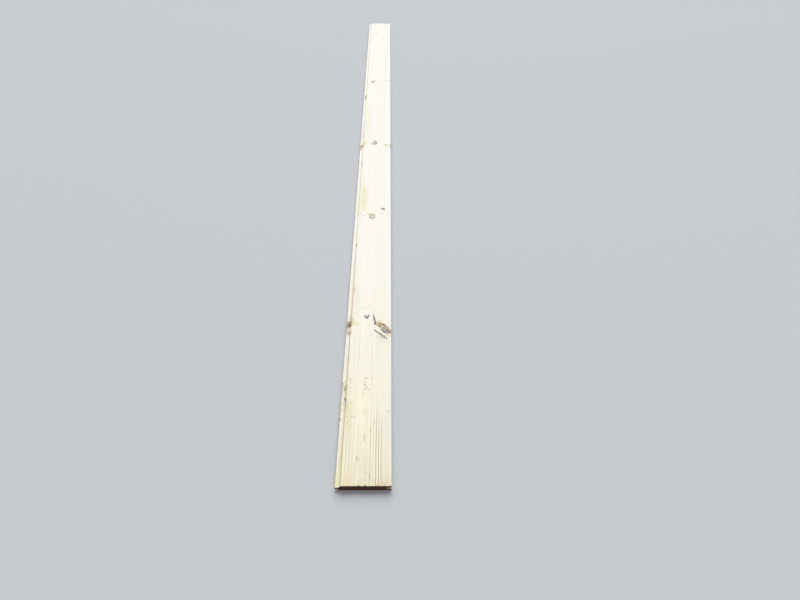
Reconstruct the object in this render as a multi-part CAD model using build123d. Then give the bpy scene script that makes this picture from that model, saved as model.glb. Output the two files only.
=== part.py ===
"""Tongue and groove cladding board of sawn and planed softwood, one piece of stock.

The board lies on its back with its weather face up. Its length runs along Y,
the tongue points to -X and the groove opens to +X. The origin is in the middle
of the board, on the surface it lies on.
"""
import os

from build123d import *

# Sizes that are set by hand, in millimetres
board_length = 3000.0
cover_width = 112.0  # what one board hides once its tongue is in the next groove
tongue_length = 8.0
scoop_radius = 4.0  # quarter hollow that gives the shadow line beside the tongue
shoulder_land = 2.0  # square part of the shoulder, where the next upper lip closes
groove_height = 5.0
lower_lip = 5.0
fit_clearance = 0.2  # above and below the tongue in its groove
groove_end_gap = 1.0  # left beyond the tongue's nose when two boards are closed
cutter_radius = 0.4  # in the inner corners that the moulding cutters leave
face_arris = 0.6  # rounding of the weather face beside the groove
scoop_arris = 0.3  # the crisp edge where the hollow meets the weather face
back_arris = 0.9

# Sizes that follow
overall_width = cover_width + tongue_length
upper_lip = scoop_radius + shoulder_land
thickness = lower_lip + groove_height + upper_lip
groove_depth = tongue_length + groove_end_gap
tongue_thickness = groove_height - 2 * fit_clearance
nose_radius = tongue_thickness / 4
mouth_lead_in = cutter_radius + fit_clearance  # clears the corner beside the tongue

# Places across the board and through its thickness
tongue_tip = -overall_width / 2
shoulder = tongue_tip + tongue_length
scoop_edge = shoulder + scoop_radius
groove_face = overall_width / 2
groove_bottom = groove_face - groove_depth
groove_floor = lower_lip
groove_roof = lower_lip + groove_height
tongue_underside = groove_floor + fit_clearance
tongue_top = groove_roof - fit_clearance
scoop_foot = thickness - scoop_radius


def moulded_profile():
    """Section of the board, drawn from the back's tongue side round to the start."""
    with BuildSketch(Plane.XZ) as section:
        with BuildLine():
            Polyline(
                (scoop_edge, thickness),
                (groove_face, thickness),
                (groove_face, groove_roof),
                (groove_bottom, groove_roof),
                (groove_bottom, groove_floor),
                (groove_face, groove_floor),
                (groove_face, 0),
                (shoulder, 0),
                (shoulder, tongue_underside),
                (tongue_tip, tongue_underside),
                (tongue_tip, tongue_top),
                (shoulder, tongue_top),
                (shoulder, scoop_foot),
            )
            CenterArc((shoulder, thickness), scoop_radius, -90, 90)
        make_face()
    return section.sketch


def long_edges(board, places):
    """The edges along the board that run through the given places of its section."""
    along = board.edges().filter_by(Axis.Y)
    return [along.sort_by_distance((x, 0, z))[0] for x, z in places]


def ease(board):
    """Round or bevel the edges as the moulding cutters leave them."""
    inner_corners = [
        (shoulder, tongue_top),
        (shoulder, tongue_underside),
        (groove_bottom, groove_roof),
        (groove_bottom, groove_floor),
    ]
    nose = [(tongue_tip, tongue_top), (tongue_tip, tongue_underside)]
    mouth = [(groove_face, groove_roof), (groove_face, groove_floor)]
    back = [(shoulder, 0), (groove_face, 0)]
    board = fillet(long_edges(board, inner_corners), cutter_radius)
    board = fillet(long_edges(board, nose), nose_radius)
    board = chamfer(long_edges(board, mouth), mouth_lead_in)
    board = fillet(long_edges(board, back), back_arris)
    board = fillet(long_edges(board, [(groove_face, thickness)]), face_arris)
    return fillet(long_edges(board, [(scoop_edge, thickness)]), scoop_arris)


def cladding_board():
    """The moulded profile run to length and sawn square at both ends."""
    run = extrude(moulded_profile(), amount=board_length / 2, both=True)
    return ease(run)


board = cladding_board()
board.label = "cladding_board"
os.makedirs("parts", exist_ok=True)
export_step(board, "parts/cladding_board.step")
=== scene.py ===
"""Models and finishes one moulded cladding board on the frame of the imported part.

The board lies on its back along Y, with its tongue towards -X and its groove
towards +X.
"""
import math
from collections import namedtuple

import bmesh
import bpy
from bpy.props import FloatProperty, FloatVectorProperty, PointerProperty
from mathutils import Matrix, Vector


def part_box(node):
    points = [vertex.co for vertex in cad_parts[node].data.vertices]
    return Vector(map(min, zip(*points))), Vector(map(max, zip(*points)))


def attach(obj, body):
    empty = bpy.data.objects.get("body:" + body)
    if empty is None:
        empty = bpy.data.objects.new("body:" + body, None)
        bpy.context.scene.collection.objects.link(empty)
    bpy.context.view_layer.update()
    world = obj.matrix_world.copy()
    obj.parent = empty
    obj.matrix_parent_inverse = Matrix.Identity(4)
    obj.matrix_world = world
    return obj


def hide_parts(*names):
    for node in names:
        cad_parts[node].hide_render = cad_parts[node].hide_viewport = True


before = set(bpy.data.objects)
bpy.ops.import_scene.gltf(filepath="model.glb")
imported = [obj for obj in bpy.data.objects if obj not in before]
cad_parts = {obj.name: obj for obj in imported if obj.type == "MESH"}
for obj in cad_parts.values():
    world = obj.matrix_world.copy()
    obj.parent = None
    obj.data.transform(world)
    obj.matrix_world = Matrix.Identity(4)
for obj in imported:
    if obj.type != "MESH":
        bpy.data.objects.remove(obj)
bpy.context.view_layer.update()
low, high = (Vector(corner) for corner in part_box("cladding_board"))

bl_info = {
    "name": "Cladding board",
    "version": (1, 0, 0),
    "blender": (4, 5, 0),
    "location": "3D View > Sidebar > Cladding",
    "description": "Models a tongue and groove cladding board and its treated softwood",
    "category": "Mesh",
}

MILLI = 0.001
NEAR = 1e-5  # places closer than this, in metres, count as one

# The marks in these tables are placed in millimetres, along from the near end
# and across from the tongue's tip. Their colours are names in the palette. The
# length and width of a knot or a blot are half of its own, its turn is in degrees
# from the grain, clockwise as seen from above, and its strength is 0 to 1.
Knot = namedtuple("Knot", "along across length width turn heart rim strength")
KNOTS = (
    Knot(492, 5, 13, 8.5, 0, "tan", "russet", 0.45),
    Knot(459, 7, 9, 6.5, 0, "tan", "tan", 0.35),
    Knot(517, 53, 7, 7, 0, "ash", "slate", 0.45),
    Knot(475, 101, 22.5, 9.5, -47, "beige", "gold", 0.85),
    Knot(1006, 58, 11, 10, 0, "cream", "khaki", 0.75),
    Knot(1051, 93, 5.5, 6.5, 0, "ash", "slate", 0.65),
    Knot(1527, 56, 15, 10, 10, "ash", "slate", 0.75),
    Knot(1500, 5, 25, 8, 15, "tan", "russet", 0.55),
    Knot(1511, 101, 7, 10, 0, "lime", "olive", 0.55),
    Knot(1503, 122, 18, 4.5, 0, "olive", "ink", 0.85),
    Knot(2144, 38, 10, 9, 0, "slate", "slate", 0.80),
    Knot(2157, 99, 8, 9, 0, "lime", "olive", 0.30),
    Knot(2820, 42, 13, 12, 0, "ash", "ash", 0.25),
)

# A check is a split that tapers to both ends. Each runs from one place, along
# and across, to another, with its greatest width and depth in millimetres.
Check = namedtuple("Check", "start end width depth colour")
CHECKS = (
    Check((532, 70.5), (486, 78), 4.8, 2.0, "ink"),
    Check((470, 72), (430, 111), 6.8, 1.6, "stone"),
    Check((2006, 8.5), (1944, 9), 7.0, 0.2, "moss"),
    Check((74, 43), (60, 46), 2.6, 0.8, "slate"),
)

# Notches that the saw tore out of the near arris. Each width is half of the
# notch's own, and each depth is a share of the chips' depth.
Notch = namedtuple("Notch", "across width depth")
NOTCHES = (
    Notch(51.5, 3.0, 1.00),
    Notch(94.5, 1.8, 0.50),
    Notch(107.0, 2.2, 0.60),
)

# Blots are spots of colour. Where soft is 0 the rim is crisp, and where it is 1,
# as in most, the colour fades from the middle.
Blot = namedtuple("Blot", "along across length width turn colour strength soft", defaults=(1.0,))
STREAKS = (
    # Single dark lines of the grain, which step aside for knots. Each has the
    # fields of a blot, without a turn and a colour of its own.
    (60, 86.0, 185, 0.8, 1.0),
    (70, 91.3, 180, 0.8, 0.85),
    (90, 73.4, 100, 1.1, 0.5),
    (130, 80.2, 110, 0.8, 0.45),
    (140, 97.5, 50, 1.0, 0.35),
    (8, 60.0, 26, 0.9, 0.7),
    (30, 40.8, 70, 0.9, 0.55),
    (10, 24.5, 40, 0.8, 0.35),
    (140, 21.0, 70, 0.9, 0.25),
    (30, 33.0, 90, 0.8, 0.25),
    (40, 27.5, 120, 0.9, 0.25),
    (15, 86.2, 60, 1.0, 0.65),
    (15, 92.0, 60, 1.1, 0.65),
    (35, 98.5, 130, 3.5, 0.3),
    (95, 23.5, 65, 0.8, 0.2),
    (355, 69.5, 105, 1.1, 0.25),
    (405, 38.0, 115, 1.1, 0.25),
    (405, 26.0, 115, 1.1, 0.25),
)
BLOTS = tuple(Blot(*fields) for fields in (
    # Tints of the wood
    (5, 25, 60, 22, 0, "wheat", 0.5),
    (15, 5, 60, 6, 0, "lime", 0.45),
    (3, 108, 30, 22, 0, "rose", 0.6),
    (235, 50, 70, 32, 0, "blush", 0.5),
    (-2, 60, 26, 70, 0, "tan", 0.16),
    (48, 60, 42, 26, 0, "sage", 0.45),
    (150, 109, 150, 15, 0, "frost", 0.45),
    (200, 21, 30, 10, 0, "straw", 0.75, 0.5),
    (212, 14.5, 34, 3.0, 0, "khaki", 0.35),
    (158, 21, 28, 11, 0, "straw", 0.6, 0.5),
    (590, 20, 90, 14, 0, "rose", 0.22),
    (262, 18, 52, 7.5, 0, "lime", 0.45, 0.8),
    (370, 10.5, 100, 3, 0, "olive", 0.4),
    (1125, 27, 95, 16, 0, "lime", 0.6, 0.6),
    (1235, 20, 45, 9, 0, "rose", 0.15),
    (1700, 27, 190, 17, 0, "lime", 0.24),
    (1572, 36, 22, 3, -30, "olive", 0.2),
    (1232, 12, 30, 3.5, 0, "cream", 0.5),
    # Specks and smears at the near end
    (236, 8.5, 5, 2.2, 0, "ink", 0.85, 0.8),
    (268, 8, 12, 5, 0, "moss", 0.75),
    (228, 11, 22, 2.2, 0, "moss", 0.75),
    (281, 1.8, 5, 1.8, 0, "ink", 0.6, 0.8),
    (176, 1, 5, 1.6, 0, "ink", 0.6, 0.8),
    (180, 16.5, 2.5, 2.5, 0, "slate", 0.45, 0.9),
    (180, 27.5, 2.5, 2.5, 0, "slate", 0.45, 0.9),
    (178, 33, 3, 3, 0, "slate", 0.45, 0.9),
    (163, 16, 2.5, 4, 0, "slate", 0.35, 0.9),
    (293, 22, 3, 2.5, 0, "slate", 0.4, 0.9),
    (284, 22, 3, 3, 0, "slate", 0.35, 0.9),
    (267, 19, 2.5, 4, 0, "slate", 0.35, 0.9),
    (122, 58, 15, 4, 0, "slate", 0.3),
    (194, 57, 12, 4, 0, "slate", 0.16),
    (143, 73, 7, 2.5, 0, "slate", 0.25),
    (165, 80, 7, 3, 0, "slate", 0.22),
    (25, 73, 14, 1.3, 0, "slate", 0.55),
    (33, 65, 1.3, 6, 0, "slate", 0.3),
    (13, 57, 1.3, 7, 4, "slate", 0.22),
    (9, 104, 1.3, 8, -5, "slate", 0.2),
    (88, 85, 5, 1.8, 0, "slate", 0.25),
    (195, 115, 4, 3.5, 0, "slate", 0.3, 0.9),
    (276, 55, 4, 3.0, -60, "ink", 0.6, 0.9),
    (269.5, 60.5, 3.5, 2.4, 40, "slate", 0.5, 0.9),
    (264, 57, 2.6, 4.5, 12, "slate", 0.55, 0.9),
    (261, 65, 3, 3.5, 0, "slate", 0.35, 0.9),
    (296, 57, 2.5, 7, 0, "slate", 0.5, 0.9),
    (298, 71, 3, 4, 0, "slate", 0.35, 0.9),
    (285, 56, 5, 5, 0, "rose", 0.45),
    (256, 52, 14, 4, 0, "ash", 0.35),
    (280, 72, 3, 3, 0, "ash", 0.4),
    # The resinous knot on the tongue
    (488.5, 4.5, 15, 7.5, 0, "umber", 0.75, 0.8),
    (490, 10.2, 15, 4.6, 0, "bark", 1.0, 0.8),
    (508, 12, 12, 3.0, 0, "tan", 0.7),
    (471, 1.5, 6, 4, 0, "umber", 0.5),
    # Painted shade along the scoop's deep edge
    (450, 12, 10, 2.4, 0, "tan", 0.45),
    (512, 8, 20, 6, 0, "tan", 0.45),
    (461, 5, 15, 7, 0, "tan", 0.5),
    (455, 9.5, 7, 3.4, 0, "umber", 0.4),
    (496, 15, 14, 5, 0, "tan", 0.6),
    (491, 23, 13, 13, 0, "straw", 0.8),
    (580, 12.0, 90, 3.5, 0, "rose", 0.7),
    # The small black knot and the head of the first check
    (521, 48, 4, 3.3, 0, "ink", 0.8, 0.8),
    (521, 58, 4, 3.3, 0, "ink", 0.8, 0.8),
    (514.5, 54, 5.5, 6, 0, "ink", 0.85, 0.8),
    (505, 75.5, 19, 4.0, -14, "slate", 0.6, 0.9),
    (493.5, 76.8, 7, 3.4, 0, "bark", 0.85, 0.8),
    (450, 67.5, 26, 0.9, 20, "ash", 0.5),
    (402, 55, 1.6, 4.5, 0, "ash", 0.45),
    (392, 55, 1.4, 4.5, 0, "ash", 0.4),
    (551, 46, 3.5, 11, 0, "ash", 0.25),
    (558, 62, 24, 2.4, -28, "ash", 0.3),
    # The long knot by the groove's edge
    (498, 88, 8, 10, 0, "tan", 0.45),
    (489, 83, 7, 5, 0, "tan", 0.55),
    (486.5, 94, 16, 5.6, -70, "gold", 0.7, 0.9),
    (488, 90.5, 6, 6, 0, "tan", 0.5),
    (486.5, 98.5, 5.5, 2.6, -52, "bronze", 0.6, 0.9),
    (481, 105, 9, 3.0, -56, "bronze", 0.7, 0.8),
    (481, 91.5, 4.0, 2.4, 0, "bronze", 0.75, 0.9),
    (477.5, 97.0, 6, 2.2, -75, "cream", 0.8, 0.9),
    (470.5, 95.5, 6, 2.4, -45, "cream", 0.6, 0.9),
    (472.8, 101.0, 5.0, 3.6, 0, "stone", 0.9, 0.9),
    (475.5, 107.6, 3, 2.2, 0, "cream", 0.85, 0.9),
    (470, 109, 3.5, 4.5, 0, "stone", 0.4, 0.9),
    (468, 114.5, 5, 3.5, -30, "lilac", 0.6, 0.9),
    (460, 105, 15, 7.5, -55, "lilac", 0.85, 0.6),
    (455, 111, 9, 3.6, -85, "lilac", 0.85, 0.7),
    (459, 117, 8, 4, 0, "lilac", 0.85, 0.6),
    (461, 99.8, 12, 2.9, -46, "mauve", 1.0, 0.7),
    (463, 109, 7, 2.4, -38, "mauve", 0.9, 0.7),
    (456.5, 112.5, 3.4, 3.0, 0, "mauve", 0.85, 0.8),
    (459, 116.5, 5, 2.6, 56, "mauve", 0.9, 0.7),
    (443, 98, 12, 7, -50, "stone", 0.4),
    (438, 96, 20, 14, -40, "ash", 0.45),
    (444, 114, 9, 7, 0, "straw", 0.6),
    (448, 111, 9, 8, 0, "tan", 0.32),
    (495, 110, 20, 6, -45, "blush", 0.6),
    (481, 80, 8, 6, 0, "rose", 0.45),
    # The ringed knot and its neighbour
    (1018, 55.5, 6, 12.5, -6, "khaki", 0.78, 0.7),
    (1011, 54, 4, 10, 0, "khaki", 0.35),
    (1004, 49.5, 6, 3, 0, "slate", 0.8, 0.8),
    (1001, 67, 6, 2.5, 0, "slate", 0.65, 0.8),
    (995, 58, 9.5, 10, 0, "slate", 0.42, 0.9),
    (1006, 62.5, 3.6, 3.0, 0, "cream", 0.8, 0.8),
    (1006.5, 55.5, 4, 2.2, 0, "khaki", 0.5, 0.9),
    (1022, 20.5, 12, 3.0, -33, "khaki", 0.28),
    (1013, 30, 4.0, 6.0, 0, "khaki", 0.28),
    (1018, 40, 9, 3.4, 42, "khaki", 0.35),
    (1024, 49, 5, 8, 0, "khaki", 0.25),
    (1048, 30, 12, 24, 0, "lime", 0.25),
    (1054, 93, 4.5, 6.5, 0, "ink", 0.75, 0.8),
    (1038, 96, 4, 2.5, 0, "slate", 0.4, 0.9),
    # The knots halfway along
    (1525, 63, 8, 3.2, 0, "ink", 0.65, 0.8),
    (1543, 60, 7, 8, 0, "olive", 0.55, 0.8),
    (1549, 62, 5, 18, 0, "olive", 0.28),
    (1512, 9, 21, 5, 12, "gold", 0.85),
    (1508, 9, 12, 3, 10, "umber", 0.35),
    (1524, 16, 24, 11, 12, "straw", 0.75),
    (1604, 11, 34, 7, 0, "lime", 0.35),
    (1510, 100, 8, 2.4, 0, "olive", 0.5),
    (1512, 110, 7, 5, 0, "olive", 0.35),
    (1578, 8, 34, 6, 0, "rose", 0.4),
    # Beyond the middle
    (2160, 49, 7, 9, 0, "ash", 0.7),
    (2157, 115, 10, 8, 0, "ash", 0.3),
    (848, 11.5, 9, 2.5, 0, "ink", 0.55, 0.9),
    (1974, 9, 28, 5, 0, "moss", 0.35, 0.8),
    # Painted shade, with dust, deepening the line at the scoop's edge
    (730, 12, 120, 3.0, 0, "tan", 0.3),
    (632, 15, 14, 4.0, 0, "khaki", 0.35),
    (1015, 11.5, 12, 2.5, 0, "slate", 0.45, 0.9),
    (1060, 10, 90, 5, 0, "lime", 0.45),
    (1360, 12, 26, 3.5, 0, "slate", 0.35),
))


def shade(red, green, blue):
    """A colour seen on screen, 0 to 255, as the linear colour that a material takes."""
    return tuple(
        part / 12.92 if part <= 0.04045 else ((part + 0.055) / 1.055) ** 2.4
        for part in (red / 255, green / 255, blue / 255)
    )


# Colours of knots, splits and the wood stained round them
PALETTE = {
    "grain": shade(170, 158, 126),
    "umber": shade(138, 102, 60),
    "bark": shade(98, 70, 36),
    "russet": shade(170, 134, 94),
    "tan": shade(206, 180, 138),
    "gold": shade(166, 142, 96),
    "bronze": shade(130, 114, 80),
    "beige": shade(190, 178, 158),
    "stone": shade(132, 122, 102),
    "khaki": shade(182, 174, 136),
    "olive": shade(186, 184, 140),
    "moss": shade(158, 158, 132),
    "ink": shade(88, 84, 72),
    "slate": shade(150, 146, 132),
    "ash": shade(204, 200, 186),
    "mauve": shade(114, 100, 96),
    "lilac": shade(190, 178, 172),
    "cream": shade(232, 222, 202),
    "rose": shade(228, 206, 186),
    "blush": shade(253, 243, 220),
    "straw": shade(234, 226, 186),
    "wheat": shade(240, 222, 184),
    "lime": shade(230, 230, 186),
    "sage": shade(226, 224, 200),
    "frost": shade(236, 238, 222),
}


class CladdingSection(bpy.types.PropertyGroup):
    """Sizes of the moulded section."""

    tongue_length: FloatProperty(
        name="Tongue length", description="From the shoulder to the tongue's tip",
        default=0.008, unit="LENGTH")
    tongue_thickness: FloatProperty(
        name="Tongue thickness", description="Thickness of the tongue",
        default=0.0046, unit="LENGTH")
    lower_lip: FloatProperty(
        name="Lower lip", description="Wood between the back and the groove",
        default=0.005, unit="LENGTH")
    groove_height: FloatProperty(
        name="Groove height", description="Clear height of the groove",
        default=0.005, unit="LENGTH")
    groove_depth: FloatProperty(
        name="Groove depth", description="From the groove's mouth to its bottom",
        default=0.009, unit="LENGTH")
    scoop_radius: FloatProperty(
        name="Scoop radius", description="Quarter hollow beside the tongue",
        default=0.004, unit="LENGTH")
    nose_radius: FloatProperty(
        name="Nose radius", description="Rounding of the tongue's tip",
        default=0.00115, unit="LENGTH")
    mouth_lead_in: FloatProperty(
        name="Mouth lead-in", description="Bevel inside the groove's mouth",
        default=0.0006, unit="LENGTH")
    cutter_radius: FloatProperty(
        name="Cutter radius", description="Rounding in the inner corners",
        default=0.0004, unit="LENGTH")
    face_arris: FloatProperty(
        name="Face arris", description="Rounding of the weather face by the groove",
        default=0.0006, unit="LENGTH")
    scoop_arris: FloatProperty(
        name="Scoop arris", description="Rounding where the scoop meets the weather face",
        default=0.0003, unit="LENGTH")
    back_arris: FloatProperty(
        name="Back arris", description="Rounding of the back's edges",
        default=0.0009, unit="LENGTH")
    column: FloatProperty(
        name="Column", description="Faces across: half this on the weather face, twice on the back",
        default=0.003, unit="LENGTH")
    clear_ring: FloatProperty(
        name="Clear ring", description="Length of a ring of faces in clear wood",
        default=0.020, unit="LENGTH")
    knotty_ring: FloatProperty(
        name="Knotty ring", description="Length of a ring of faces beside knots and splits",
        default=0.003, unit="LENGTH")
    end_ring: FloatProperty(
        name="End ring", description="Length of a ring of faces beside a sawn end",
        default=0.0008, unit="LENGTH")


class CladdingWood(bpy.types.PropertyGroup):
    """Figure and colours of the treated softwood."""

    ring_pitch: FloatProperty(
        name="Ring pitch", description="Thickness of one year's growth",
        default=0.00383, unit="LENGTH")
    pith_across: FloatProperty(
        name="Pith across", description="The tree's pith, from the tongue's tip",
        default=0.046, unit="LENGTH")
    pith_depth: FloatProperty(
        name="Pith depth", description="The tree's pith, below the back",
        default=0.030, unit="LENGTH")
    grain_depth: FloatProperty(
        name="Grain depth", description="How far the soft wood has sunk between the rings",
        default=0.00012, unit="LENGTH")
    saw_depth: FloatProperty(
        name="Saw depth", description="Roughness of the sawn ends",
        default=0.0006, unit="LENGTH")
    chip_depth: FloatProperty(
        name="Chip depth", description="Depth of the chips and nicks along the edges",
        default=0.0018, unit="LENGTH")
    # Length over which a painted sheen pales the wood from its near end
    sheen_reach: FloatProperty(
        name="Bleach reach", description="Length over which the wood pales from its near end",
        default=0.350, unit="LENGTH")
    earlywood: FloatVectorProperty(
        name="Earlywood", description="Pale wood between the rings",
        default=shade(244, 239, 214), subtype="COLOR", min=0, max=1)
    latewood: FloatVectorProperty(
        name="Latewood", description="Dark line of each ring",
        default=shade(190, 178, 146), subtype="COLOR", min=0, max=1)
    # Painted sheen: the paler colour that the wood takes towards the far end
    painted_sheen: FloatVectorProperty(
        name="Bleached", description="Wood at the paler end of the board",
        default=shade(248, 248, 238), subtype="COLOR", min=0, max=1)
    treatment: FloatVectorProperty(
        name="Treatment", description="Green tint that the preservative leaves",
        default=shade(222, 220, 182), subtype="COLOR", min=0, max=1)
    # Dust in the scoop and the groove, and painted shade in those hollows
    dust_and_shade: FloatVectorProperty(
        name="Dust", description="Dirt held in the scoop and the groove",
        default=shade(170, 162, 120), subtype="COLOR", min=0, max=1)
    mould: FloatVectorProperty(
        name="Mould", description="Dark specks on the tongue's side",
        default=shade(92, 92, 78), subtype="COLOR", min=0, max=1)
    # Colours of the end grain: partly its own darker colour, partly painted shade
    shaded_end_grain: FloatVectorProperty(
        name="End grain", description="Sawn end between the rings",
        default=shade(92, 68, 50), subtype="COLOR", min=0, max=1)
    shaded_end_rings: FloatVectorProperty(
        name="End rings", description="Rings on the sawn end",
        default=shade(56, 40, 30), subtype="COLOR", min=0, max=1)


class CladdingStage(bpy.types.PropertyGroup):
    """Camera, light and floor."""

    camera_place: FloatVectorProperty(
        name="Camera place", description="Where the camera stands",
        default=(0.0464, -2.1806, 1.1483), unit="LENGTH")
    camera_pitch: FloatProperty(
        name="Camera pitch", description="How far the camera looks down",
        default=math.radians(41.763), unit="ROTATION")
    camera_yaw: FloatProperty(
        name="Camera yaw", description="How far the camera looks to the left",
        default=math.radians(-1.76), unit="ROTATION")
    camera_roll: FloatProperty(
        name="Camera roll", description="How far the camera leans to the left",
        default=math.radians(1.5), unit="ROTATION")
    camera_lens: FloatProperty(
        name="Camera lens", description="Focal length on a 36 mm sensor, in millimetres",
        default=27.045)
    floor_colour: FloatVectorProperty(
        name="Floor", description="Colour of the floor",
        default=shade(198, 199, 203), subtype="COLOR", min=0, max=1)
    sky_strength: FloatProperty(
        name="Sky strength", description="Soft light from all round", default=0.44)
    sun_strength: FloatProperty(
        name="Sun strength", description="Light from beyond the far end", default=2.66)
    sun_height: FloatProperty(
        name="Sun height", description="Angle of the main light above the floor",
        default=math.radians(42), unit="ROTATION")
    sun_bearing: FloatProperty(
        name="Sun bearing", description="Angle of the main light to the right of the far end",
        default=math.radians(4), unit="ROTATION")
    sun_softness: FloatProperty(
        name="Sun softness", description="Angle across which the main light spreads",
        default=math.radians(50), unit="ROTATION")


def deselect():
    """Leave nothing selected in object mode."""
    bpy.ops.object.select_all(action="DESELECT")


def pick(kind, test):
    """In edit mode, select only the VERT, EDGE or FACE elements that pass the test."""
    bpy.ops.mesh.select_mode(type=kind)
    bpy.ops.mesh.select_all(action="DESELECT")
    mesh = bpy.context.edit_object.data
    shape = bmesh.from_edit_mesh(mesh)
    elements = {"VERT": shape.verts, "EDGE": shape.edges, "FACE": shape.faces}[kind]
    for element in elements:
        if test(element):
            element.select_set(True)
    bmesh.update_edit_mesh(mesh)


def middle(element):
    """Middle of an edge or a face."""
    if isinstance(element, bmesh.types.BMFace):
        return element.calc_center_median()
    return (element.verts[0].co + element.verts[1].co) / 2


def cut(place, normal):
    """Cut every face along a plane."""
    bpy.ops.mesh.select_all(action="SELECT")
    bpy.ops.mesh.bisect(plane_co=place, plane_no=normal)


def round_corners(places, radius, segments):
    """Round corners of the flat section."""
    for x, z in places:
        pick("VERT", lambda v: abs(v.co.x - x) < NEAR and abs(v.co.z - z) < NEAR)
        bpy.ops.mesh.bevel(affect="VERTICES", offset=radius, segments=segments, profile=0.5)


def draw_section(s):
    """The section as one flat face at the near end, facing -Y."""
    shoulder = low.x + s.tongue_length
    scoop_edge = shoulder + s.scoop_radius
    groove_bottom = high.x - s.groove_depth
    groove_floor = low.z + s.lower_lip
    groove_roof = groove_floor + s.groove_height
    tongue_low = (groove_floor + groove_roof - s.tongue_thickness) / 2
    tongue_top = tongue_low + s.tongue_thickness
    scoop_foot = high.z - s.scoop_radius

    deselect()
    bpy.ops.mesh.primitive_plane_add(size=1, rotation=(math.radians(90), 0, 0))
    bpy.ops.object.transform_apply(location=True, rotation=True, scale=True)
    bpy.ops.object.mode_set(mode="EDIT")
    bpy.ops.mesh.select_all(action="SELECT")
    bpy.ops.transform.resize(value=(high.x - shoulder, 1, high.z - low.z))
    bpy.ops.transform.translate(value=((shoulder + high.x) / 2, low.y, (low.z + high.z) / 2))

    for z in (tongue_low, tongue_top):
        cut((0, 0, z), (0, 0, 1))
    pick("EDGE", lambda e: (
        abs(middle(e).x - shoulder) < NEAR and tongue_low < middle(e).z < tongue_top))
    bpy.ops.mesh.extrude_region_move(TRANSFORM_OT_translate={"value": (-s.tongue_length, 0, 0)})
    for z in (groove_floor, groove_roof, scoop_foot):
        cut((0, 0, z), (0, 0, 1))
    for x in (groove_bottom, scoop_edge):
        cut((x, 0, 0), (1, 0, 0))
    pick("FACE", lambda f: (
        middle(f).x > groove_bottom and groove_floor < middle(f).z < groove_roof))
    bpy.ops.mesh.delete(type="FACE")
    pick("FACE", lambda f: middle(f).x < scoop_edge and middle(f).z > scoop_foot)
    bpy.ops.mesh.delete(type="FACE")
    bpy.ops.mesh.select_all(action="SELECT")
    bpy.ops.mesh.dissolve_limited(angle_limit=math.radians(1))

    # The scoop's curve stops short of the weather face to leave room for its arris
    round_corners([(scoop_edge, scoop_foot)], s.scoop_radius - 1.2 * s.scoop_arris, segments=8)
    inner_corners = [
        (shoulder, tongue_top), (shoulder, tongue_low),
        (groove_bottom, groove_floor), (groove_bottom, groove_roof),
    ]
    round_corners(inner_corners, s.cutter_radius, segments=2)
    round_corners([(low.x, tongue_low), (low.x, tongue_top)], s.nose_radius, segments=3)
    round_corners([(high.x, groove_floor), (high.x, groove_roof)], s.mouth_lead_in, segments=1)
    round_corners([(shoulder, low.z), (high.x, low.z)], s.back_arris, segments=3)
    round_corners([(high.x, high.z)], s.face_arris, segments=3)
    round_corners([(scoop_edge, high.z)], s.scoop_arris, segments=2)


def stretches(s):
    """The board's length as stretches, each with its end and the length of its rings."""
    length = high.y - low.y
    torn = 3 * s.end_ring  # reach of the chips beside an end
    behind = 0.012  # reach of the closer rings behind the chips
    nicked_start, nicked_end = 0.165, 0.305  # where the tongue's nose is nicked
    zones = [
        (0.0, torn, s.end_ring),
        (torn, behind, s.knotty_ring),
        (nicked_start, nicked_end, s.knotty_ring),
        (length - behind, length - torn, s.knotty_ring),
        (length - torn, length, s.end_ring),
    ]
    marks = []
    for knot in KNOTS:
        reach = max(knot.length, knot.width) * 1.5
        marks.append((knot.along - reach, knot.along + reach))
    for check in CHECKS:
        margin = 4
        first, last = sorted((check.start[0], check.end[0]))
        marks.append((first - margin, last + margin))
    zones += [(first * MILLI, last * MILLI, s.knotty_ring) for first, last in marks]
    found = []
    reached = 0.0
    for start, end, ring in sorted(zones):
        if start > reached + s.clear_ring:
            found.append((start, s.clear_ring))
            reached = start
        if end > reached:
            found.append((min(end, length), ring))
            reached = min(end, length)
    return found


def runs_along(edge):
    """Whether an edge runs along the board."""
    first, last = edge.verts
    return abs(first.co.y - last.co.y) > NEAR


def run_to_length(s):
    """Draw the section out along the board and ring each stretch."""
    reached = 0.0
    rings = []
    for end, ring in stretches(s):
        bpy.ops.mesh.extrude_region_move(TRANSFORM_OT_translate={"value": (0, end - reached, 0)})
        rings.append((low.y + reached, low.y + end, max(round((end - reached) / ring) - 1, 0)))
        reached = end
    for start, end, cuts in rings:
        if cuts:
            pick("EDGE", lambda e: start < middle(e).y < end and runs_along(e))
            bpy.ops.mesh.subdivide(number_cuts=cuts)


def at_end(y):
    """Whether a place along the board is at a sawn end."""
    return abs(abs(y) - high.y) < NEAR


def grid_ends(s):
    """Cut the sawn ends into a fine grid."""
    spacing = s.column / 3
    pick("FACE", lambda f: at_end(middle(f).y))
    bpy.ops.mesh.hide(unselected=True)
    for count in range(1, round((high.x - low.x) / spacing)):
        cut((low.x + count * spacing, 0, 0), (1, 0, 0))
    for count in range(1, round((high.z - low.z) / spacing)):
        cut((0, 0, low.z + count * spacing), (0, 0, 1))
    bpy.ops.mesh.reveal()


def refine(across, along, reach_across, reach_along):
    """Quarter the weather face's own faces round a place on the board, all in millimetres."""
    centre = Vector((low.x + across * MILLI, low.y + along * MILLI))

    def near(face):
        place = middle(face)
        return (
            place.z > high.z - NEAR
            and abs(place.x - centre.x) < reach_across * MILLI
            and abs(place.y - centre.y) < reach_along * MILLI
        )

    pick("FACE", near)
    bpy.ops.mesh.subdivide(number_cuts=1)


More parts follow.
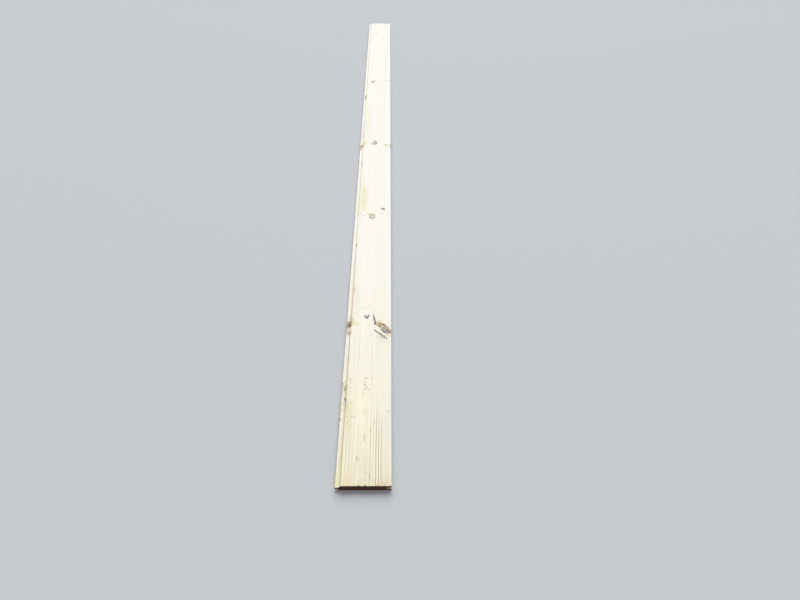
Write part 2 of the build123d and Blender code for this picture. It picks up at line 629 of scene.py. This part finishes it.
def make_board(s):
    """Model the board's faces, with finer ones where its knots and splits are."""
    draw_section(s)
    wide = 2 * s.column
    for count in range(1, round((high.x - low.x) / wide)):
        cut((low.x + wide * count, 0, 0), (1, 0, 0))
    pick("EDGE", lambda e: middle(e).z > high.z - NEAR)
    bpy.ops.mesh.subdivide(number_cuts=3)
    bpy.ops.mesh.select_all(action="SELECT")
    run_to_length(s)
    bpy.ops.mesh.select_all(action="SELECT")
    bpy.ops.mesh.normals_make_consistent(inside=False)
    # The finer faces reach a little past each knot, to the hollow round it
    for knot in KNOTS:
        reach = max(knot.width, knot.length * abs(math.sin(math.radians(knot.turn))))
        refine(knot.across, knot.along, reach * 1.4, knot.length * 1.3)
    for check in CHECKS:
        centre = (Vector(check.start) + Vector(check.end)) / 2
        reach = (Vector(check.start) - Vector(check.end)) / 2
        for margin in (3, 2):
            refine(centre.y, centre.x, abs(reach.y) + margin, abs(reach.x) + margin)
    # Faces beside finer ones have more than four corners, some of them in a row
    pick("FACE", lambda f: len(f.verts) > 4 and not at_end(middle(f).y))
    bpy.ops.mesh.poke()
    grid_ends(s)
    bpy.ops.object.mode_set(mode="OBJECT")
    return bpy.context.object


class Value:
    """A node's output. Arithmetic on it adds Math nodes to its tree."""

    def __init__(self, tree, socket):
        self.tree = tree
        self.socket = socket

    def math(self, operation, *others):
        node = self.tree.nodes.new("ShaderNodeMath")
        node.operation = operation
        for socket, operand in zip(node.inputs, (self, *others)):
            feed(socket, operand)
        return Value(self.tree, node.outputs[0])

    def __add__(self, other):
        return self.math("ADD", other)

    def __sub__(self, other):
        return self.math("SUBTRACT", other)

    def __mul__(self, other):
        return self.math("MULTIPLY", other)

    def __truediv__(self, other):
        return self.math("DIVIDE", other)

    def ramp(self, start, end, bottom=0.0, top=1.0):
        """Rise smoothly from bottom at start to top at end."""
        node = self.tree.nodes.new("ShaderNodeMapRange")
        node.interpolation_type = "SMOOTHSTEP"
        for socket, operand in zip(node.inputs, (self, start, end, bottom, top)):
            feed(socket, operand)
        return Value(self.tree, node.outputs[0])


def feed(socket, operand):
    """Give an input a number, a colour or another node's output."""
    if isinstance(operand, Value):
        operand.tree.links.new(operand.socket, socket)
    elif isinstance(operand, (int, float)):
        socket.default_value = operand
    else:
        socket.default_value = (*operand, 1.0)


def join(x, y, z):
    """A vector from three values, of which at least one is a node's output."""
    tree = next(part.tree for part in (x, y, z) if isinstance(part, Value))
    node = tree.nodes.new("ShaderNodeCombineXYZ")
    for socket, operand in zip(node.inputs, (x, y, z)):
        feed(socket, operand)
    return Value(tree, node.outputs[0])


def noise(vector, detail=2.0):
    """Soft noise between 0 and 1, one unit of the vector to a lump."""
    node = vector.tree.nodes.new("ShaderNodeTexNoise")
    feed(node.inputs["Vector"], vector)
    feed(node.inputs["Scale"], 1.0)
    feed(node.inputs["Detail"], detail)
    return Value(vector.tree, node.outputs[0])


def blend(factor, first, second):
    """Mix two colours by a factor between 0 and 1."""
    node = factor.tree.nodes.new("ShaderNodeMix")
    node.data_type = "RGBA"
    feed(node.inputs[0], factor)
    feed(node.inputs[6], first)
    feed(node.inputs[7], second)
    return Value(factor.tree, node.outputs[2])


def group(tree, name, values, build):
    """Place the named group in a tree. The first time, build makes what is in it.

    The groups serve the materials and the relief alike, so each exists once for
    each kind of tree.
    """
    title = f"{name} for {'relief' if tree.bl_idname == 'GeometryNodeTree' else 'finish'}"
    inner = bpy.data.node_groups.get(title)
    if inner is None:
        inner = bpy.data.node_groups.new(title, tree.bl_idname)
        for label, value in values.items():
            kind = "NodeSocketColor" if is_colour(value) else "NodeSocketFloat"
            inner.interface.new_socket(label, in_out="INPUT", socket_type=kind)
        entry = inner.nodes.new("NodeGroupInput")
        results = build(*(Value(inner, entry.outputs[label]) for label in values))
        leave = inner.nodes.new("NodeGroupOutput")
        for label, result in results.items():
            kind = "NodeSocketColor" if result.socket.type == "RGBA" else "NodeSocketFloat"
            inner.interface.new_socket(label, in_out="OUTPUT", socket_type=kind)
            feed(leave.inputs[label], result)
    node = tree.nodes.new(tree.bl_idname.replace("NodeTree", "NodeGroup"))
    node.node_tree = inner
    for label, value in values.items():
        feed(node.inputs[label], value)
    return {socket.name: Value(tree, socket) for socket in node.outputs}


def is_colour(value):
    """Whether a group's input takes a colour."""
    if isinstance(value, Value):
        return value.socket.type == "RGBA"
    return not isinstance(value, (int, float))


def seen_from(across, along, centre_across, centre_along, turn):
    """A place as seen from the middle of a mark: across the mark, and along it."""
    dx = across - centre_across
    dy = along - centre_along
    sine = turn.math("SINE")
    cosine = turn.math("COSINE")
    return dx * cosine - dy * sine, dx * sine + dy * cosine


def oval(across, along, centre_across, centre_along, half_width, half_length, turn):
    """Distance from the middle of an oval, 1 at its rim."""
    wide, long = seen_from(across, along, centre_across, centre_along, turn)
    wide = wide / half_width
    long = long / half_length
    return (wide * wide + long * long).math("SQRT")


def knot_shape(
        across, along, lumps, centre_across, centre_along, half_width, half_length, turn):
    """Distance from a knot, 1 at its rim, and how far the grain steps aside for it."""
    distance = oval(across, along, centre_across, centre_along, half_width, half_length, turn)
    dx = across - centre_across
    near_across = dx / (half_width * 2.2)
    near_along = (along - centre_along) / (half_length * 2.4)
    reach = (near_across * near_across + near_along * near_along) * -1.0
    return {
        "Distance": distance * (lumps * 0.5 + 0.75),
        "Aside": dx * reach.math("EXPONENT") * 0.75,
    }


def check_shape(across, along, centre_across, centre_along, half_width, half_length, turn):
    """A split that meanders a little and tapers to both ends, 1 in its middle."""
    wide, long = seen_from(across, along, centre_across, centre_along, turn)
    run = long / half_length
    taper = (run * run * -1.0 + 1.0).math("MAXIMUM", 0.001)
    meander = (noise(join(along * 0.09, across * 0.09, 0.0)) - 0.5) * half_width * 2.0
    offset = (wide + meander).math("ABSOLUTE") / (half_width * taper)
    inside = run.math("ABSOLUTE").ramp(0.85, 1.0, 1.0, 0.0)
    return {"Split": offset.ramp(0.35, 1.0, 1.0, 0.0) * inside}


def end_arris(across, along, up, length):
    """How far in from the nearer sawn end, and where chips are torn from its upper arris."""
    inward = (along - length / 2.0).math("ABSOLUTE") * -1.0 + length / 2.0
    lumps = noise(join(across * 0.13, along * 0.004, 1.0), 3.0)
    chips = (lumps + across.ramp(44.0, 50.0, 0.0, 0.04)).ramp(0.52, 0.70)
    torn = chips * inward.ramp(0.0, 2.6, 1.0, 0.0) * up.ramp(11.5, 15.5)
    return {"Inward": inward, "Torn": torn}


def notch_shape(torn, across, along, up, centre, half_width, depth):
    """The torn chips with one notch of the near arris added."""
    wide = (across - centre).math("ABSOLUTE").ramp(0.0, half_width, 1.0, 0.0)
    notch = wide * along.ramp(0.0, 3.4, 1.0, 0.0) * up.ramp(11.5, 15.5) * depth
    return {"Torn": torn.math("MAXIMUM", notch)}


def wobble(across, along, up):
    """Places shifted a little here and there, so that no mark has a perfect outline."""
    shift = noise(join(across * 0.11, along * 0.045, up * 0.1), 1.0)
    drift = noise(join(along * 0.05, up * 0.1, across * 0.09), 1.0)
    lumps = noise(join(across * 0.32, along * 0.16, up * 0.3), 2.0)
    return {
        "Across": across + (shift - 0.5) * 4.0,
        "Along": along + (drift - 0.5) * 9.0,
        "Lumps": lumps,
    }


def growth_rings(across, along, up, pith_across, pith_depth, pitch):
    """The yearly rings, which wander more away from the near end, and their dark latewood.

    Above the pith, where the board's faces run along a ring, the latewood fades.
    """
    wander = along.ramp(200.0, 1400.0)
    sway = (noise(join(along * 0.0013, 0.0, 4.0)) - 0.5) * 16.0 * wander
    lift = (noise(join(along * 0.0009, 7.0, 0.0)) - 0.5) * 12.0 * wander
    x = across - pith_across + sway
    z = up + pith_depth + lift
    radius = (x * x + z * z).math("SQRT")
    ripple = (noise(join(across * 0.06, along * 0.005, up * 0.06)) - 0.5) * 0.4
    turns = radius / pitch + ripple
    year = turns.math("FLOOR")
    season = turns - year
    chance = turns.tree.nodes.new("ShaderNodeTexWhiteNoise")
    chance.noise_dimensions = "1D"
    feed(chance.inputs["W"], year)
    strength = Value(turns.tree, chance.outputs[0]) * 0.6 + 0.4
    late = season.ramp(0.55, 0.90) * season.ramp(0.93, 1.0, 1.0, 0.0)
    slant = (x / radius).math("ABSOLUTE").ramp(0.12, 0.55)
    return {"Rings": late * strength, "Latewood": late * strength * slant}


def fine_fibres(across, along, up):
    """Hair-fine streaks along the grain and slow bands across it."""
    hairs = noise(join(across * 0.5, along * 0.006, up * 0.5), 3.0)
    bands = noise(join(across * 0.13, along * 0.0017, up * 0.13), 2.0)
    return {"Hairs": hairs, "Bands": bands}


# What stands at a place in the wood: the place in millimetres, the place shifted
# a little for the marks, the grain stepped aside for knots, each knot with its
# distance, each check with its split, the way in from the nearer end, the torn
# parts of its arris, and the figure of the wood.
Figure = namedtuple(
    "Figure", "across along up marks straight knots checks inward torn rings latewood fibres")


def placed(mark):
    """The inputs of a group that say where a knot or a blot lies."""
    return {
        "Centre across": mark.across, "Centre along": mark.along,
        "Half width": mark.width, "Half length": mark.length,
        "Turn": math.radians(mark.turn),
    }


def figure(tree, position, wood):
    """The grain, knots and splits at a position, shared by relief and finish."""
    parts = tree.nodes.new("ShaderNodeSeparateXYZ")
    feed(parts.inputs[0], position)
    across = (Value(tree, parts.outputs[0]) - low.x) / MILLI
    along = (Value(tree, parts.outputs[1]) - low.y) / MILLI
    up = (Value(tree, parts.outputs[2]) - low.z) / MILLI
    here = {"Across": across, "Along": along, "Up": up}
    marks = group(tree, "Wobble", here, wobble)
    straight = across
    knots = []
    for knot in KNOTS:
        shape = group(tree, "Knot", {**marks, **placed(knot)}, knot_shape)
        straight = straight - shape["Aside"]
        knots.append((knot, shape["Distance"]))
    checks = []
    for check in CHECKS:
        run = Vector(check.end) - Vector(check.start)
        centre = (Vector(check.end) + Vector(check.start)) / 2
        shape = group(tree, "Check", {
            "Across": across, "Along": along,
            "Centre across": centre.y, "Centre along": centre.x,
            "Half width": check.width / 2, "Half length": run.length / 2,
            "Turn": math.atan2(run.y, run.x),
        }, check_shape)
        checks.append((check, shape["Split"] * up.ramp(4.0, 9.0)))
    length = (high.y - low.y) / MILLI
    arris = group(tree, "End arris", {**here, "Length": length}, end_arris)
    torn = arris["Torn"]
    for notch in NOTCHES:
        torn = group(tree, "Notch", {
            "Torn": torn, **here,
            "Centre": notch.across, "Half width": notch.width, "Depth": notch.depth,
        }, notch_shape)["Torn"]
    in_grain = {**here, "Across": straight}
    rings = group(tree, "Growth rings", {
        **in_grain,
        "Pith across": wood.pith_across / MILLI, "Pith depth": wood.pith_depth / MILLI,
        "Pitch": wood.ring_pitch / MILLI,
    }, growth_rings)
    fibres = group(tree, "Fibres", in_grain, fine_fibres)
    return Figure(
        across, along, up, marks, straight, knots, checks, arris["Inward"], torn,
        rings["Rings"], rings["Latewood"], fibres)


def sink_soft_wood(piece, wood):
    """Lower the soft wood, knot rims, splits and sawn ends below the planed surface."""
    tree = bpy.data.node_groups.new("Wood relief", "GeometryNodeTree")
    tree.interface.new_socket("Geometry", in_out="INPUT", socket_type="NodeSocketGeometry")
    tree.interface.new_socket("Geometry", in_out="OUTPUT", socket_type="NodeSocketGeometry")
    entry = tree.nodes.new("NodeGroupInput")
    leave = tree.nodes.new("NodeGroupOutput")
    place = Value(tree, tree.nodes.new("GeometryNodeInputPosition").outputs[0])
    normal = Value(tree, tree.nodes.new("GeometryNodeInputNormal").outputs[0])
    here = figure(tree, place, wood)

    # What sinks at right angles to the surface
    moat_depth = 0.4
    nick_depth = wood.chip_depth * 0.7
    depth = (here.latewood * -1.0 + 1.0) * wood.grain_depth
    for knot, distance in here.knots:
        moat = distance.ramp(0.70, 0.95) * distance.ramp(1.0, 1.3, 1.0, 0.0)
        depth = depth + moat * (knot.strength * moat_depth * MILLI)
    for check, split in here.checks:
        depth = depth + split * (check.depth * MILLI)
    nicks = noise(join(here.along * 0.07, here.up * 0.05, 3.0), 1.0).ramp(0.62, 0.78)
    depth = depth + nicks * here.across.ramp(0.0, 1.2, 1.0, 0.0) * nick_depth
    sunk = tree.nodes.new("ShaderNodeVectorMath")
    sunk.operation = "SCALE"
    feed(sunk.inputs[0], normal)
    feed(sunk.inputs["Scale"], depth * -1.0)

    # What the saw took straight into the ends, and straight down at their arrises
    fuzz = noise(join(here.across * 0.42, here.along * 0.0005, here.up * 0.42), 2.0)
    sawn = here.inward.ramp(0.1, 0.4, 1.0, 0.0) * fuzz * wood.saw_depth
    torn = here.torn * wood.chip_depth
    middle_along = (high.y - low.y) / 2 / MILLI
    side = (here.along * -1.0 + middle_along).math("SIGN")
    offset = tree.nodes.new("ShaderNodeVectorMath")
    offset.operation = "ADD"
    feed(offset.inputs[0], Value(tree, sunk.outputs[0]))
    feed(offset.inputs[1], join(0.0, (torn * 0.5 + sawn) * side, torn * -1.0))
    move = tree.nodes.new("GeometryNodeSetPosition")
    tree.links.new(entry.outputs[0], move.inputs["Geometry"])
    tree.links.new(offset.outputs[0], move.inputs["Offset"])
    tree.links.new(move.outputs[0], leave.inputs[0])

    modifier = piece.modifiers.new("Wood relief", "NODES")
    modifier.node_group = tree
    bpy.ops.object.modifier_apply(modifier=modifier.name)


def knot_paint(colour, distance, heart, rim, strength):
    """Paint a knot with its rings over a colour."""
    inside = distance.ramp(0.80, 1.05, 1.0, 0.0) * strength
    edge = distance.ramp(0.45, 0.85) * distance.ramp(0.95, 1.15, 1.0, 0.0) * strength
    hearted = blend(inside, colour, heart)
    rings = (distance * 20.0).math("SINE").ramp(0.0, 1.0, 0.0, 0.30) * inside
    ringed = blend(rings, hearted, rim)
    return {"Colour": blend(edge * 0.8, ringed, rim)}


def blot_paint(colour, across, along, centre_across, centre_along, half_width, half_length,
               turn, soft, paint, strength):
    """Paint a spot that fades at its rim over a colour."""
    distance = oval(across, along, centre_across, centre_along, half_width, half_length, turn)
    cover = distance.ramp(soft * -0.9 + 1.0, soft * 0.3 + 1.05, 1.0, 0.0)
    return {"Colour": blend(cover * strength, colour, paint)}


def paint_blot(tree, colour, across, along, blot, strength):
    """Place the nodes that paint one blot."""
    return group(tree, "Blot", {
        "Colour": colour, "Across": across, "Along": along, **placed(blot),
        "Soft": blot.soft, "Paint": PALETTE[blot.colour], "Strength": strength,
    }, blot_paint)["Colour"]


def start_material(name, wood):
    """A new material, with the figure of the wood at its surface."""
    material = bpy.data.materials.new(name)
    material.use_nodes = True
    tree = material.node_tree
    place = Value(tree, tree.nodes.new("ShaderNodeTexCoord").outputs["Object"])
    return material, tree, figure(tree, place, wood)


def finish(tree, colour, roughness, specular, height, strength, distance):
    """Give a material's shader its colour, its gloss and a bump of some height."""
    bump = tree.nodes.new("ShaderNodeBump")
    feed(bump.inputs["Strength"], strength)
    feed(bump.inputs["Distance"], distance)
    feed(bump.inputs["Height"], height)
    shader = tree.nodes["Principled BSDF"]
    feed(shader.inputs["Base Color"], colour)
    feed(shader.inputs["Roughness"], roughness)
    feed(shader.inputs["Specular IOR Level"], specular)
    feed(shader.inputs["Normal"], Value(tree, bump.outputs[0]))


def planed_wood(wood):
    """Planed softwood, warm at the near end and paled beyond by a painted sheen."""
    material, tree, here = start_material("Planed treated softwood", wood)
    across, along, up = here.across, here.along, here.up

    # Clear wood, whose grain is plainest at the near end. Towards the far end a painted sheen pales
    # the wood and washes out its grain
    contrast_reach = 220.0
    warm = (along / -wood.sheen_reach * MILLI).math("EXPONENT")
    colour = blend(warm, wood.painted_sheen, wood.earlywood)
    contrast = (along / -contrast_reach).math("EXPONENT") * 0.85 + 0.15
    colour = blend(here.latewood * contrast * 0.65, colour, wood.latewood)
    colour = blend(here.fibres["Bands"].ramp(0.5, 0.75) * contrast * 0.25, colour, wood.latewood)
    colour = blend(here.fibres["Hairs"].ramp(0.48, 0.75) * contrast * 0.50, colour, wood.latewood)
    uneven = here.fibres["Bands"].ramp(0.35, 0.6, 0.6, 1.0)
    for *place, strength in STREAKS:
        streak = Blot(*place, 0, "grain", strength)
        colour = paint_blot(tree, colour, here.straight, along, streak, uneven * strength)

    # Green tint beside the scoop, and the dust colour in the scoop's deep part and in the groove:
    # dust, with painted shade in both hollows
    green = across.ramp(4.0, 9.0) * across.ramp(11.0, 20.0, 1.0, 0.0)
    colour = blend(green * contrast * 0.30, colour, wood.treatment)
    scoop_dust_and_shade = across.ramp(7.4, 11.0) * across.ramp(11.9, 12.3, 1.0, 0.0) * up.ramp(9.5, 11.0)
    colour = blend(scoop_dust_and_shade * (warm * 0.45 + 0.20), colour, wood.dust_and_shade)
    # Painted shade inside the groove, in the colour of dust
    groove_dust_and_shade = across.ramp(110.2, 111.2) * up.ramp(3.8, 4.8) * up.ramp(10.2, 11.0, 1.0, 0.0)
    colour = blend(groove_dust_and_shade * 0.5, colour, wood.dust_and_shade)

    # Knots and checks, and then what only the upper faces show: blots and mould
    for knot, distance in here.knots:
        colour = group(tree, "Knot paint", {
            "Colour": colour, "Distance": distance,
            "Heart": PALETTE[knot.heart], "Rim": PALETTE[knot.rim], "Strength": knot.strength,
        }, knot_paint)["Colour"]
    for check, split in here.checks:
        colour = blend(split * 0.85, colour, PALETTE[check.colour])
    plain = colour
    for blot in BLOTS:
        colour = paint_blot(
            tree, colour, here.marks["Across"], here.marks["Along"], blot, blot.strength)
    specks = noise(join(across * 0.42, along * 0.20, up * 0.30), 1.0).ramp(0.55, 0.69)
    rough = along.ramp(160, 215) * along.ramp(275, 310, 1.0, 0.0) * across.ramp(9.0, 13.0, 1.0, 0.0)
    colour = blend(specks * rough * 0.75, colour, wood.mould)
    colour = blend(up.ramp(2.0, 6.0), plain, colour)
    # Torn chips and notches at the arrises take the end grain's colour, and with it its painted
    # shade
    colour = blend(here.torn.ramp(0.05, 0.60) * 0.70, colour, wood.shaded_end_grain)

    finish(
        tree, colour, roughness=here.fibres["Hairs"] * 0.15 + 0.65, specular=0.25,
        height=here.fibres["Hairs"] * 0.6 + here.latewood * 0.4, strength=0.6, distance=0.0003)
    return material


def sawn_wood(wood):
    """Dark end grain with its rings and the saw's marks: its own darker colour, deepened with
    painted shade.
    """
    material, tree, here = start_material("Sawn end grain", wood)
    fuzz = noise(join(here.across * 0.5, here.along * 0.04, here.up * 0.5), 3.0)
    colour = blend(here.rings.ramp(0.0, 0.5), wood.shaded_end_grain, wood.shaded_end_rings)
    colour = blend(fuzz.ramp(0.5, 0.75) * 0.3, colour, wood.shaded_end_rings)
    marks = ((here.up + here.across * 0.2) * 2.6).math("SINE")
    finish(
        tree, colour, roughness=0.85, specular=0.2,
        height=fuzz + marks * 0.25, strength=0.7, distance=0.0004)
    return material


class MakeCladdingBoard(bpy.types.Operator):
    """Model the moulded board, with its relief and its wood."""

    bl_idname = "cladding.make_board"
    bl_label = "Make board"

    def execute(self, context):
        wood = context.scene.cladding_wood
        piece = make_board(context.scene.cladding_section)
        piece.name = piece.data.name = "moulded_board"
        piece.data.materials.append(planed_wood(wood))
        piece.data.materials.append(sawn_wood(wood))
        for face in piece.data.polygons:
            face.material_index = int(at_end(face.center.y))
        sink_soft_wood(piece, wood)
        bpy.ops.object.shade_smooth_by_angle(angle=math.radians(35))
        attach(piece, "root")
        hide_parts("cladding_board")
        return {"FINISHED"}


def plain_material(name, colour):
    """A matt material of one colour."""
    material = bpy.data.materials.new(name)
    material.use_nodes = True
    shader = material.node_tree.nodes["Principled BSDF"]
    shader.inputs["Base Color"].default_value = (*colour, 1)
    shader.inputs["Roughness"].default_value = 0.9
    return material


class SetCladdingStage(bpy.types.Operator):
    """Lay the floor, light it and stand the camera where the board was seen from."""

    bl_idname = "cladding.set_stage"
    bl_label = "Set stage"

    def execute(self, context):
        stage = context.scene.cladding_stage
        deselect()
        bpy.ops.mesh.primitive_plane_add(size=60, location=(0, 0, low.z))
        floor = context.object
        bpy.ops.object.transform_apply(location=True, rotation=True, scale=True)
        floor.name = "floor"
        floor.data.materials.append(plain_material("Pale floor", stage.floor_colour))

        world = bpy.data.worlds.new("Soft sky")
        context.scene.world = world
        world.use_nodes = True
        sky = world.node_tree.nodes["Background"]
        sky.inputs["Color"].default_value = (1, 1, 1, 1)
        sky.inputs["Strength"].default_value = stage.sky_strength

        turn = Matrix.Rotation(-stage.sun_bearing, 4, "Z") @ Matrix.Rotation(
            stage.sun_height - math.radians(90), 4, "X")
        bpy.ops.object.light_add(type="SUN", location=(0, 0, 3), rotation=turn.to_euler())
        context.object.data.energy = stage.sun_strength
        context.object.data.angle = stage.sun_softness

        aim = (
            Matrix.Rotation(stage.camera_yaw, 4, "Z")
            @ Matrix.Rotation(math.radians(90) - stage.camera_pitch, 4, "X")
            @ Matrix.Rotation(stage.camera_roll, 4, "Z")
        )
        bpy.ops.object.camera_add(location=stage.camera_place, rotation=aim.to_euler())
        context.object.data.lens = stage.camera_lens
        context.scene.camera = context.object
        context.scene.view_settings.view_transform = "Standard"
        return {"FINISHED"}


class CladdingPanel(bpy.types.Panel):
    """Sizes, wood and stage of the cladding board."""

    bl_idname = "VIEW3D_PT_cladding"
    bl_label = "Cladding board"
    bl_space_type = "VIEW_3D"
    bl_region_type = "UI"
    bl_category = "Cladding"

    def draw(self, context):
        for name, (title, _) in GROUPS.items():
            box = self.layout.box()
            box.label(text=title)
            settings = getattr(context.scene, name)
            for field in settings.bl_rna.properties:
                if field.identifier not in ("rna_type", "name"):
                    box.prop(settings, field.identifier)
        for operator in OPERATORS:
            self.layout.operator(operator.bl_idname)


GROUPS = {
    "cladding_section": ("Section", CladdingSection),
    "cladding_wood": ("Wood", CladdingWood),
    "cladding_stage": ("Stage", CladdingStage),
}
OPERATORS = (MakeCladdingBoard, SetCladdingStage)


def register():
    for name, (_, settings) in GROUPS.items():
        bpy.utils.register_class(settings)
        setattr(bpy.types.Scene, name, PointerProperty(type=settings))
    for operator in OPERATORS:
        bpy.utils.register_class(operator)
    bpy.utils.register_class(CladdingPanel)


def unregister():
    bpy.utils.unregister_class(CladdingPanel)
    for operator in reversed(OPERATORS):
        bpy.utils.unregister_class(operator)
    for name, (_, settings) in reversed(GROUPS.items()):
        delattr(bpy.types.Scene, name)
        bpy.utils.unregister_class(settings)


def main():
    register()
    bpy.ops.cladding.make_board()
    bpy.ops.cladding.set_stage()


if __name__ == "__main__":
    main()
